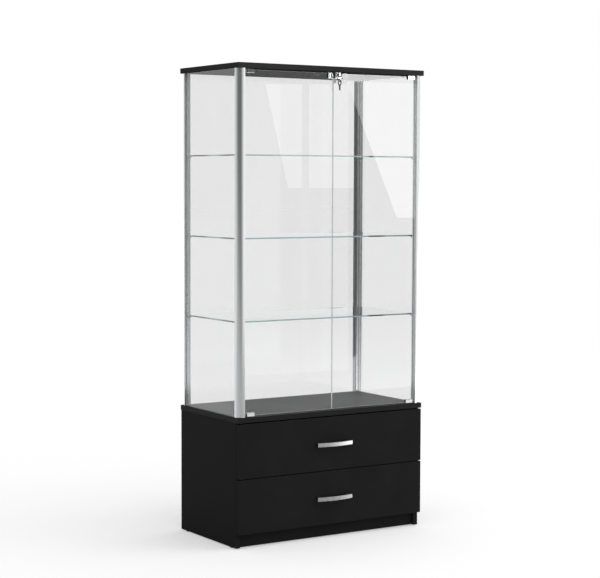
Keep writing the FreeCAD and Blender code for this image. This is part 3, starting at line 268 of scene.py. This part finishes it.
def float_glass(name, across, face, film_tone, edge_tone, specular=0.5, painted_shade_streaks=False):
    """Clear float glass with ground edges: clear on the two faces square to the given axis, and a
    cloudy sea green where light leaves through the ground edge. Lamps shine through it. On a shelf's
    edges, dark streaks and stripes are painted shade, and no light passes through them."""
    material, tree = new_material(f"float_glass_{name}")
    place = add(tree, "TexCoord")
    facing = add(tree, "SeparateXYZ", inputs={0: place.outputs["Normal"]})
    square = add(tree, "Math", {"operation": "ABSOLUTE"}, {0: facing.outputs[across]})
    edge = add(tree, "Math", {"operation": "LESS_THAN"}, {0: square.outputs[0], 1: PANE_FACE})
    film = grain(tree, FILM, BROAD_DETAIL)
    haze = add(tree, "Mix", {"data_type": "RGBA"}, {
        "Factor": film.outputs["Fac"], 6: face[:], 7: film_tone[:]})
    colour = add(tree, "Mix", {"data_type": "RGBA"}, {
        "Factor": edge.outputs[0], 6: haze.outputs[2], 7: edge_tone[:]})
    rough = add(tree, "Math", {"operation": "MULTIPLY"}, {0: edge.outputs[0], 1: EDGE_ROUGHNESS})
    clear = add(tree, "MapRange", inputs={
        "Value": edge.outputs[0], "To Min": 1.0, "To Max": EDGE_TRANSMISSION})
    tone, passed = colour.outputs[2], clear.outputs["Result"]
    if painted_shade_streaks:
        axes = add(tree, "SeparateXYZ", inputs={0: place.outputs["Object"]})
        stripes = painted_shade_stripes(tree, facing, axes)
        streak = painted_shade_streak(tree, facing, axes)
        dark = add(tree, "Math", {"operation": "ADD"}, {0: streak.outputs[0], 1: stripes.outputs[0]})
        # Painted shade: the streaks and stripes darken the edge to near black and stop light passing
        # through it
        tone = add(tree, "Mix", {"data_type": "RGBA"}, {
            "Factor": dark.outputs[0], 6: tone, 7: linear("#080b0b")}).outputs[2]
        passed = add(tree, "Mix", inputs={0: dark.outputs[0], 2: passed, 3: 0.0}).outputs[0]
    shader = add(tree, "BsdfPrincipled", inputs={
        "Base Color": tone, "Roughness": rough.outputs[0], "IOR": GLASS_IOR,
        "Specular IOR Level": specular, "Transmission Weight": passed})
    lamp = add(tree, "BsdfTransparent", inputs={"Color": linear("#f4f5f5")})
    path = add(tree, "LightPath")
    passing = add(tree, "Math", {"operation": "MAXIMUM"}, {
        0: path.outputs["Is Shadow Ray"], 1: path.outputs["Is Diffuse Ray"]})
    mirrored = add(tree, "Math", {"operation": "SUBTRACT"}, {
        0: path.outputs["Is Glossy Ray"], 1: path.outputs["Is Transmission Ray"]})
    passing = add(tree, "Math", {"operation": "MAXIMUM"}, {
        0: passing.outputs[0], 1: mirrored.outputs[0]})
    both = add(tree, "MixShader", inputs={
        0: passing.outputs[0], 1: shader.outputs["BSDF"], 2: lamp.outputs[0]})
    add(tree, "OutputMaterial", inputs={"Surface": both.outputs[0]})
    return material


def new_object(name, points, faces):
    """A mesh object in the scene, from arrays of points and faces."""
    mesh = bpy.data.meshes.new(name)
    mesh.from_pydata(points.tolist(), [], faces.tolist())
    mesh.validate()
    thing = bpy.data.objects.new(name, mesh)
    bpy.context.scene.collection.objects.link(thing)
    return thing


def patch(name, corners, counts=(2, 2)):
    """A patch between four corners: point(s, t) = (1 - s)(1 - t) a + s (1 - t) b + s t c + (1 - s) t d,
    for s and t from 0 to 1."""
    s, t = np.meshgrid(np.linspace(0, 1, counts[0]), np.linspace(0, 1, counts[1]), indexing="ij")
    weights = np.stack([(1 - s) * (1 - t), s * (1 - t), s * t, (1 - s) * t], -1)
    points = weights @ np.array(corners, dtype=float)
    index = np.arange(s.size).reshape(s.shape)
    faces = np.stack([index[:-1, :-1], index[1:, :-1], index[1:, 1:], index[:-1, 1:]], -1)
    return new_object(name, points.reshape(-1, 3), faces.reshape(-1, 4))


class CabinetFinish(bpy.types.PropertyGroup):
    """Colours of the cabinet."""

    board_dark: bpy.props.FloatVectorProperty(
        name="Board, dark", description="Darker tone of the black boards", subtype="COLOR", size=4,
        default=linear("#1f1f20"))
    board_light: bpy.props.FloatVectorProperty(
        name="Board, light", description="Lighter tone of the black boards", subtype="COLOR", size=4,
        default=linear("#29292a"))
    # Painted sheen: the top panel's tones are lighter than the other boards' to stand in for the light on
    # its front edge
    top_painted_sheen_dark: bpy.props.FloatVectorProperty(
        name="Top, dark", description="Darker tone of the top panel", subtype="COLOR", size=4,
        default=linear("#323233"))
    top_painted_sheen_light: bpy.props.FloatVectorProperty(
        name="Top, light", description="Lighter tone of the top panel", subtype="COLOR", size=4,
        default=linear("#3d3d3e"))
    # Painted highlight: a lighter tone on the broken edges of the boards
    board_edge_painted_highlight: bpy.props.FloatVectorProperty(
        name="Board edge", description="Broken edges of the edging", subtype="COLOR", size=4,
        default=linear("#2a2a2c"))
    side_face: bpy.props.FloatVectorProperty(
        name="Side panes", description="Tint of the side panes through their faces", subtype="COLOR",
        size=4, default=linear("#f5f5f5"))
    side_film: bpy.props.FloatVectorProperty(
        name="Side pane film", description="Tint where a side pane is least clean", subtype="COLOR",
        size=4, default=linear("#f3f3f3"))
    door_face: bpy.props.FloatVectorProperty(
        name="Doors", description="Tint of the doors through their faces", subtype="COLOR", size=4,
        default=linear("#fbfbfb"))
    door_film: bpy.props.FloatVectorProperty(
        name="Door film", description="Tint where a door is least clean", subtype="COLOR", size=4,
        default=linear("#f9f9f9"))
    back_face: bpy.props.FloatVectorProperty(
        name="Back pane", description="Tint of the back pane through its faces", subtype="COLOR", size=4,
        default=linear("#f0f0f0"))
    back_film: bpy.props.FloatVectorProperty(
        name="Back pane film", description="Tint where the back pane is least clean", subtype="COLOR",
        size=4, default=linear("#eeeeee"))
    pane_edge: bpy.props.FloatVectorProperty(
        name="Pane edge", description="Ground edges of panes and doors", subtype="COLOR", size=4,
        default=linear("#b4b7b7"))
    shelf_face: bpy.props.FloatVectorProperty(
        name="Shelf", description="Tint of the shelves through their faces", subtype="COLOR", size=4,
        default=linear("#fdfefd"))
    shelf_film: bpy.props.FloatVectorProperty(
        name="Shelf film", description="Tint where a shelf is least clean", subtype="COLOR", size=4,
        default=linear("#fbfcfc"))
    shelf_edge: bpy.props.FloatVectorProperty(
        name="Shelf edge", description="Ground edges of the shelves", subtype="COLOR", size=4,
        default=linear("#7ba09c"))


class CabinetStudio(bpy.types.PropertyGroup):
    """Camera and light."""

    lens: bpy.props.FloatProperty(
        name="Focal length", description="Lens on a 36 mm wide sensor", subtype="DISTANCE_CAMERA",
        default=99.17)
    stand: bpy.props.FloatVectorProperty(
        name="Camera place", description="Where the camera stands", subtype="TRANSLATION", unit="LENGTH",
        default=(-3.324, -5.147, 1.302))
    turn: bpy.props.FloatVectorProperty(
        name="Camera turn", description="Turn to the right, tilt up and roll", subtype="EULER",
        default=(math.radians(32.71), math.radians(-3.76), math.radians(0.179)))
    ambient: bpy.props.FloatProperty(
        name="Soft light", description="Strength of the light from all round", default=0.7)
    room: bpy.props.FloatProperty(
        name="Dark room", description="What polished faces mirror of the room behind the camera",
        default=0.16)
    key_power: bpy.props.FloatProperty(
        name="Key lamp", description="Power of the large lamp", unit="POWER", default=30.0)


class CABINET_OT_boards(bpy.types.Operator):
    """Dress the boards of the base, the top panel and the drawer fronts"""

    bl_idname = "cabinet.boards"
    bl_label = "Boards"

    def execute(self, context):
        finish = context.scene.cabinet_finish
        # Pearl pressed melamine: deep black with hardly any gloss
        carcass = black_melamine("melamine_black_pressed_pearl", finish.board_dark, finish.board_light,
                                 finish.board_edge_painted_highlight, 0.015)
        dress(carcass, "base_side_left", "base_side_right", "base_floor", "plinth_board",
              "upper_drawer_front", "lower_drawer_front")
        # Satin pressed melamine: a grey sheen at a low angle
        deck = black_melamine("melamine_black_satin_pressed", finish.board_dark, finish.board_light,
                              finish.board_edge_painted_highlight, 0.06)
        dress(deck, "base_deck")
        # Matt pressed melamine without gloss; its even dark grey is painted sheen, the black board painted
        # lighter for the light on the top's front edge
        top = black_melamine("melamine_black_matt_painted_sheen", finish.top_painted_sheen_dark, finish.top_painted_sheen_light,
                             finish.board_edge_painted_highlight, 0.0)
        dress(top, "top_panel")
        # Painted hardboard: dull black with a mottle of fibres
        hardboard = grained("hardboard_painted_black", "#18181a", "#232325", (6, 6, 6), (0.6, 0.75), 0.05)
        dress(hardboard, "base_back")
        return {"FINISHED"}


class CABINET_OT_glazing(bpy.types.Operator):
    """Dress the panes, the doors, the shelves and the seals"""

    bl_idname = "cabinet.glazing"
    bl_label = "Glass"

    def execute(self, context):
        finish = context.scene.cabinet_finish
        # Side panes: a faint grey, with little gloss on the ground edges
        sides = float_glass("side_panes", "X", finish.side_face, finish.side_film, finish.pane_edge, 0.12)
        dress(sides, "side_glass_left", "side_glass_right")
        # Doors: the clearest of the panes
        doors = float_glass("doors", "Y", finish.door_face, finish.door_film, finish.pane_edge)
        dress(doors, "left_door_glass", "right_door_glass")
        # Back pane: the greyest of the panes
        back = float_glass("back_pane", "Y", finish.back_face, finish.back_film, finish.pane_edge)
        dress(back, "back_glass")
        # Shelves: clear through their faces, sea green along their edges, with painted shade in dark
        # streaks and stripes there
        level = float_glass("shelves", "Z", finish.shelf_face, finish.shelf_film, finish.shelf_edge,
                            painted_shade_streaks=True)
        dress(level, "shelf_upper", "shelf_middle", "shelf_lower")
        # Extruded vinyl: milky, with faint lines upwards
        seal = grained("clear_vinyl_extruded", "#c9cccc", "#dcdede", (2, 2, 40), (0.3, 0.45), 0.02)
        dress(seal, "glazing_gaskets", "door_seals")
        return {"FINISHED"}


class CABINET_OT_metalwork(bpy.types.Operator):
    """Dress the posts, the handles, the hinges and the fasteners"""

    bl_idname = "cabinet.metalwork"
    bl_label = "Metal"

    def execute(self, context):
        # Satin anodised aluminium: soft images with fine lines upwards, drawn 0.8 mm wide to show
        posts = grained("aluminium_satin_anodised", "#d0d1d2", "#dfe0e1", (0.8, 0.8, 400), (0.17, 0.24),
                        0.004, Metallic=1.0)
        dress(posts, "post_front_left", "post_front_right", "post_rear_left", "post_rear_right")
        # Brushed nickel: light and dark lines along the handle, drawn 0.8 mm wide to show
        brushed = grained("nickel_brushed_lengthwise", "#b5b5b5", "#d6d6d6", (60, 0.8, 0.8), (0.22, 0.36),
                          0.01, Metallic=1.0)
        dress(brushed, "upper_handle", "lower_handle")
        # Satin chrome: a clear image, a little darker than the posts
        chrome = grained("chrome_satin_plated", "#b9babc", "#cfd0d1", (5, 5, 5), (0.06, 0.12), 0.002,
                         Metallic=1.0)
        dress(chrome, "left_door_hinges", "right_door_hinges")
        # Bright zinc: a bluish grey with blurred images
        zinc = grained("zinc_bright_plated", "#a5a7ab", "#c3c4c6", (3, 3, 3), (0.25, 0.4), 0.01,
                       Metallic=1.0)
        dress(zinc, "cam_fittings", "post_screws", "left_hinge_screws", "right_hinge_screws",
              "upper_handle_screws", "lower_handle_screws")
        return {"FINISHED"}


class CABINET_OT_lock(bpy.types.Operator):
    """Dress the lock, its keeper and the keys"""

    bl_idname = "cabinet.lock"
    bl_label = "Lock and keys"

    def execute(self, context):
        # Bright chrome: sharp images, white under the lamps
        bright = grained("chrome_bright_plated", "#d4d5d8", "#e4e5e6", (6, 6, 6), (0.05, 0.12), 0.001,
                         Metallic=1.0)
        dress(bright, "lock_body", "lock_keeper", "lock_back_plate")
        # Turned brass: a warm yellow with soft images
        brass = grained("brass_turned", "#b89a58", "#d0b673", (1, 1, 1), (0.2, 0.35), 0.005, Metallic=1.0)
        dress(brass, "lock_plug")
        # Zinc plated steel: a plain grey with blurred images
        steel = grained("steel_zinc_plated", "#9a9b9e", "#b6b7b9", (3, 3, 3), (0.25, 0.4), 0.005,
                        Metallic=1.0)
        dress(steel, "lock_cam", "cam_screw")
        # Black nickel: a dark metal that stands out against the glass
        nickel = grained("nickel_black_plated", "#4a4a49", "#636361", (4, 4, 4), (0.18, 0.32), 0.01,
                         Metallic=1.0)
        dress(nickel, "lock_key", "spare_key", "key_ring")
        return {"FINISHED"}


class CABINET_OT_drawers(bpy.types.Operator):
    """Dress the drawer boxes and their runners"""

    bl_idname = "cabinet.drawers"
    bl_label = "Drawers"

    def execute(self, context):
        # Linen melamine: a pale grey with short threads, drawn 1.5 mm wide to show
        box = grained("grey_melamine_linen", "#c2c2bf", "#d2d2cf", (1.5, 6, 1.5), (0.45, 0.55), 0.02)
        dress(box, "upper_drawer_sides", "upper_drawer_back", "lower_drawer_sides", "lower_drawer_back")
        # Lacquered hardboard: an even off-white
        bottom = grained("hardboard_white_lacquer", "#cfcecb", "#dddcd9", (5, 5, 5), (0.4, 0.5), 0.02)
        dress(bottom, "upper_drawer_bottom", "lower_drawer_bottom")
        # Powder coat: white with a fine orange peel
        rail = grained("steel_white_powder_coat", "#d2d2ce", "#e2e2df", (1.2, 1.2, 1.2), (0.35, 0.5), 0.04)
        dress(rail, "cabinet_rails", "upper_drawer_rails", "lower_drawer_rails")
        # Moulded nylon: a waxy white
        nylon = grained("nylon_moulded_white", "#d8d8d2", "#e6e6e1", (2, 2, 2), (0.3, 0.4), 0.01)
        dress(nylon, "upper_front_rollers", "upper_rear_rollers", "lower_front_rollers",
              "lower_rear_rollers")
        return {"FINISHED"}


class CABINET_OT_fittings(bpy.types.Operator):
    """Dress the small plastic and wooden pieces"""

    bl_idname = "cabinet.fittings"
    bl_label = "Small fittings"

    def execute(self, context):
        # Moulded polyethylene: a dull black
        black = grained("polyethylene_moulded_black", "#141415", "#1f1f20", (2, 2, 2), (0.45, 0.6), 0.02)
        dress(black, "floor_glides", "hinge_bushes", "door_stops")
        # Moulded polycarbonate: clear with a faint cloud
        clear = grained("polycarbonate_moulded_clear", "#d5dcdc", "#e9eeee", (4, 4, 4), (0.05, 0.15), 0.01,
                        **{"Transmission Weight": 0.7, "IOR": POLYCARBONATE_IOR})
        dress(clear, "shelf_supports")
        # Beech: a warm brown with a short grain
        beech = grained("beech_fluted_dowel", "#b98d5c", "#d2ab7b", (2, 2, 14), (0.55, 0.7), 0.05)
        dress(beech, "carcass_dowels")
        return {"FINISHED"}


class CABINET_OT_studio(bpy.types.Operator):
    """Lay the floor, hang the lamp and the panels, and stand the camera"""

    bl_idname = "cabinet.studio"
    bl_label = "Studio"

    def execute(self, context):
        studio = context.scene.cabinet_studio
        self.lay_floor(studio)
        self.light_world(studio)
        self.hang_lamp(studio)
        self.hang_panels()
        self.stand_camera(studio)
        context.scene.view_settings.view_transform = "Standard"
        return {"FINISHED"}

    def floor_in_mirrors(self, tree, place):
        """Brightness of the floor in polished metal: white behind the cabinet, and graded in front of it,
        so that the posts, handles and hinges run from light to dark."""
        axes = add(tree, "SeparateXYZ", inputs={0: place.outputs["Object"]})
        grades = {}
        for name, (axis, start, end, first, last) in FLOOR_GRADES.items():
            grade = add(tree, "MapRange", inputs={
                "Value": axes.outputs[axis], "From Min": start, "From Max": end,
                "To Min": first, "To Max": last})
            grades[name] = grade.outputs["Result"]
        right = add(tree, "MapRange", inputs={
            "Value": axes.outputs["X"], "From Min": grades["start"], "From Max": FLOOR_RIGHT,
            "To Min": grades["dim"], "To Max": FLOOR_RIGHT_BRIGHT})
        front = add(tree, "Math", {"operation": "MULTIPLY"}, {
            0: grades["front"], 1: right.outputs["Result"]})
        front = add(tree, "Math", {"operation": "MULTIPLY_ADD"}, {
            0: grades["close"], 1: grades["corner"], 2: front.outputs[0]})
        wide = add(tree, "Math", {"operation": "MULTIPLY"}, {0: grades["wide"], 1: grades["left"]})
        lit = add(tree, "Math", {"operation": "MAXIMUM"}, {0: front.outputs[0], 1: grades["behind"]})
        return add(tree, "Math", {"operation": "MAXIMUM"}, {0: lit.outputs[0], 1: wide.outputs[0]})

    def lay_floor(self, studio):
        """Paper that shows white in the open and keeps the cabinet's shadow: what the open floor
        sends back of the light from all round, plus a glow, makes 1."""
        floor = patch("studio_floor", [
            (FLOOR_HALF * x, FLOOR_HALF * y, 0) for x, y in ((-1, -1), (1, -1), (1, 1), (-1, 1))])
        material, tree = new_material("paper_floor_white")
        path = add(tree, "LightPath")
        place = add(tree, "TexCoord")
        seen = add(tree, "Math", {"operation": "MAXIMUM"}, {
            0: path.outputs["Is Camera Ray"], 1: path.outputs["Is Glossy Ray"]})
        seen = add(tree, "Math", {"operation": "MAXIMUM"}, {
            0: seen.outputs[0], 1: path.outputs["Is Transmission Ray"]})
        mirrored = add(tree, "Math", {"operation": "SUBTRACT", "use_clamp": True}, {
            0: path.outputs["Is Glossy Ray"], 1: path.outputs["Is Transmission Ray"]})
        lit = self.floor_in_mirrors(tree, place)
        paper = add(tree, "Emission", inputs={"Color": WHITE, "Strength": lit.outputs[0]})
        shade = add(tree, "BsdfDiffuse", inputs={"Color": (FLOOR_ALBEDO, FLOOR_ALBEDO, FLOOR_ALBEDO, 1)})
        away = add(tree, "VectorMath", {"operation": "LENGTH"}, {0: place.outputs["Object"]})
        rest = 1 - FLOOR_ALBEDO * studio.ambient
        filled = add(tree, "MapRange", inputs={
            "Value": away.outputs["Value"], "From Min": FLOOR_NEAR, "From Max": FLOOR_FAR,
            "To Min": rest - FLOOR_DIMMER, "To Max": rest})
        glow = add(tree, "Emission", inputs={"Color": WHITE, "Strength": filled.outputs["Result"]})
        shown = add(tree, "AddShader", inputs={0: shade.outputs[0], 1: glow.outputs[0]})
        plain = add(tree, "BsdfDiffuse", inputs={"Color": (ROOM_ALBEDO, ROOM_ALBEDO, ROOM_ALBEDO, 1)})
        both = add(tree, "MixShader", inputs={
            0: seen.outputs[0], 1: plain.outputs[0], 2: shown.outputs[0]})
        every = add(tree, "MixShader", inputs={
            0: mirrored.outputs[0], 1: both.outputs[0], 2: paper.outputs[0]})
        add(tree, "OutputMaterial", inputs={"Surface": every.outputs[0]})
        floor.data.materials.append(material)

    def light_world(self, studio):
        """White to the camera, soft light from all round, and in mirrors a room that is dark behind the
        camera and bright behind the cabinet and on the right."""
        world = bpy.data.worlds.new("studio_white")
        world.use_nodes = True
        tree = world.node_tree
        tree.nodes.clear()
        path = add(tree, "LightPath")
        seen = add(tree, "Math", {"operation": "MAXIMUM"}, {
            0: path.outputs["Is Camera Ray"], 1: path.outputs["Is Transmission Ray"]})
        place = add(tree, "TexCoord")
        away = add(tree, "VectorMath", {"operation": "DOT_PRODUCT"}, {
            0: place.outputs["Generated"], 1: BRIGHT_WALL})
        back = add(tree, "MapRange", {"interpolation_type": "SMOOTHSTEP"}, {
            "Value": away.outputs["Value"], "From Min": -0.55, "From Max": 0.9,
            "To Min": studio.room, "To Max": WALL_BRIGHT})
        axes = add(tree, "SeparateXYZ", inputs={0: place.outputs["Generated"]})
        side = add(tree, "MapRange", {"interpolation_type": "SMOOTHSTEP"}, {
            "Value": axes.outputs["X"], "From Min": 0.7})
        mirrored = add(tree, "Math", {"operation": "MAXIMUM"}, {
            0: back.outputs["Result"], 1: side.outputs["Result"]})
        lit = add(tree, "VectorMath", {"operation": "DOT_PRODUCT"}, {
            0: place.outputs["Generated"], 1: BRIGHT_SIDE})
        soft = add(tree, "MapRange", inputs={
            "Value": lit.outputs["Value"], "From Min": -1.0,
            "To Min": 0.5 * studio.ambient, "To Max": 1.5 * studio.ambient})
        plain = add(tree, "Mix", inputs={
            0: path.outputs["Is Glossy Ray"], 2: soft.outputs["Result"], 3: mirrored.outputs[0]})
        strength = add(tree, "Mix", inputs={0: seen.outputs[0], 2: plain.outputs[0], 3: 1.0})
        sky = add(tree, "Background", inputs={"Color": WHITE, "Strength": strength.outputs[0]})
        add(tree, "OutputWorld", inputs={"Surface": sky.outputs[0]})
        bpy.context.scene.world = world

    def hang_lamp(self, studio):
        data = bpy.data.lights.new("key_softbox", "AREA")
        data.shape = "RECTANGLE"
        data.size = KEY_SIZE
        data.size_y = KEY_SIZE
        data.energy = studio.key_power
        lamp = bpy.data.objects.new("key_softbox", data)
        lamp.location = KEY_PLACE
        aim = Vector(KEY_AIM) - lamp.location
        lamp.rotation_euler = aim.to_track_quat("-Z", "Y").to_euler()
        bpy.context.scene.collection.objects.link(lamp)

    def hang_panels(self):
        """Windows, softboxes and a dark flag that the doors and the posts reflect."""
        for name, (left, right, reach, wall, outline) in PANELS.items():
            material, tree = new_material(name + "_light")
            place = add(tree, "TexCoord")
            axes = add(tree, "SeparateXYZ", inputs={0: place.outputs["Object"]})
            ends = [x for x, z in outline]
            strength = add(tree, "MapRange", inputs={
                "Value": axes.outputs["X"], "From Min": min(ends), "From Max": max(ends),
                "To Min": left, "To Max": right})
            path = add(tree, "LightPath")
            beyond = add(tree, "MapRange", inputs={
                "Value": path.outputs["Ray Length"],
                "From Min": (1 - REACH_FADE) * reach, "From Max": (1 + REACH_FADE) * reach})
            glow = add(tree, "Emission", inputs={"Color": WHITE, "Strength": strength.outputs["Result"]})
            clear = add(tree, "BsdfTransparent")
            shown = add(tree, "MixShader", inputs={
                0: beyond.outputs["Result"], 1: glow.outputs[0], 2: clear.outputs[0]})
            add(tree, "OutputMaterial", inputs={"Surface": shown.outputs[0]})
            pane = patch(name, [(x, wall, z) for x, z in outline])
            pane.data.materials.append(material)
            pane.visible_camera = False
            pane.visible_diffuse = False
            pane.visible_transmission = False
            pane.visible_volume_scatter = False
            pane.visible_shadow = False

    def stand_camera(self, studio):
        yaw, tilt, roll = studio.turn
        ahead = Vector((math.sin(yaw) * math.cos(tilt), math.cos(yaw) * math.cos(tilt), math.sin(tilt)))
        right = Vector((math.cos(yaw), -math.sin(yaw), 0))
        up = right.cross(ahead)
        across = right * math.cos(roll) + up * math.sin(roll)
        above = up * math.cos(roll) - right * math.sin(roll)
        data = bpy.data.cameras.new("photo_camera")
        data.sensor_width = SENSOR
        data.lens = studio.lens
        camera = bpy.data.objects.new("photo_camera", data)
        turn = Matrix((across, above, -ahead)).transposed().to_4x4()
        camera.matrix_world = Matrix.Translation(studio.stand) @ turn
        bpy.context.scene.collection.objects.link(camera)
        bpy.context.scene.camera = camera


OPERATORS = (CABINET_OT_boards, CABINET_OT_glazing, CABINET_OT_metalwork, CABINET_OT_lock,
             CABINET_OT_drawers, CABINET_OT_fittings, CABINET_OT_studio)


class CABINET_PT_panel(bpy.types.Panel):
    """Lists the steps that dress the cabinet"""

    bl_idname = "CABINET_PT_panel"
    bl_label = "Display cabinet"
    bl_space_type = "VIEW_3D"
    bl_region_type = "UI"
    bl_category = "Cabinet"

    def draw(self, context):
        for step in OPERATORS:
            self.layout.operator(step.bl_idname)
        for group in (context.scene.cabinet_finish, context.scene.cabinet_studio):
            for name in group.__annotations__:
                self.layout.prop(group, name)


CLASSES = (CabinetFinish, CabinetStudio, *OPERATORS, CABINET_PT_panel)


def register():
    for kind in CLASSES:
        bpy.utils.register_class(kind)
    bpy.types.Scene.cabinet_finish = bpy.props.PointerProperty(type=CabinetFinish)
    bpy.types.Scene.cabinet_studio = bpy.props.PointerProperty(type=CabinetStudio)


def unregister():
    del bpy.types.Scene.cabinet_studio
    del bpy.types.Scene.cabinet_finish
    for kind in reversed(CLASSES):
        bpy.utils.unregister_class(kind)


def main():
    register()
    bpy.ops.cabinet.boards()
    bpy.ops.cabinet.glazing()
    bpy.ops.cabinet.metalwork()
    bpy.ops.cabinet.lock()
    bpy.ops.cabinet.drawers()
    bpy.ops.cabinet.fittings()
    bpy.ops.cabinet.studio()


if __name__ == "__main__":
    main()
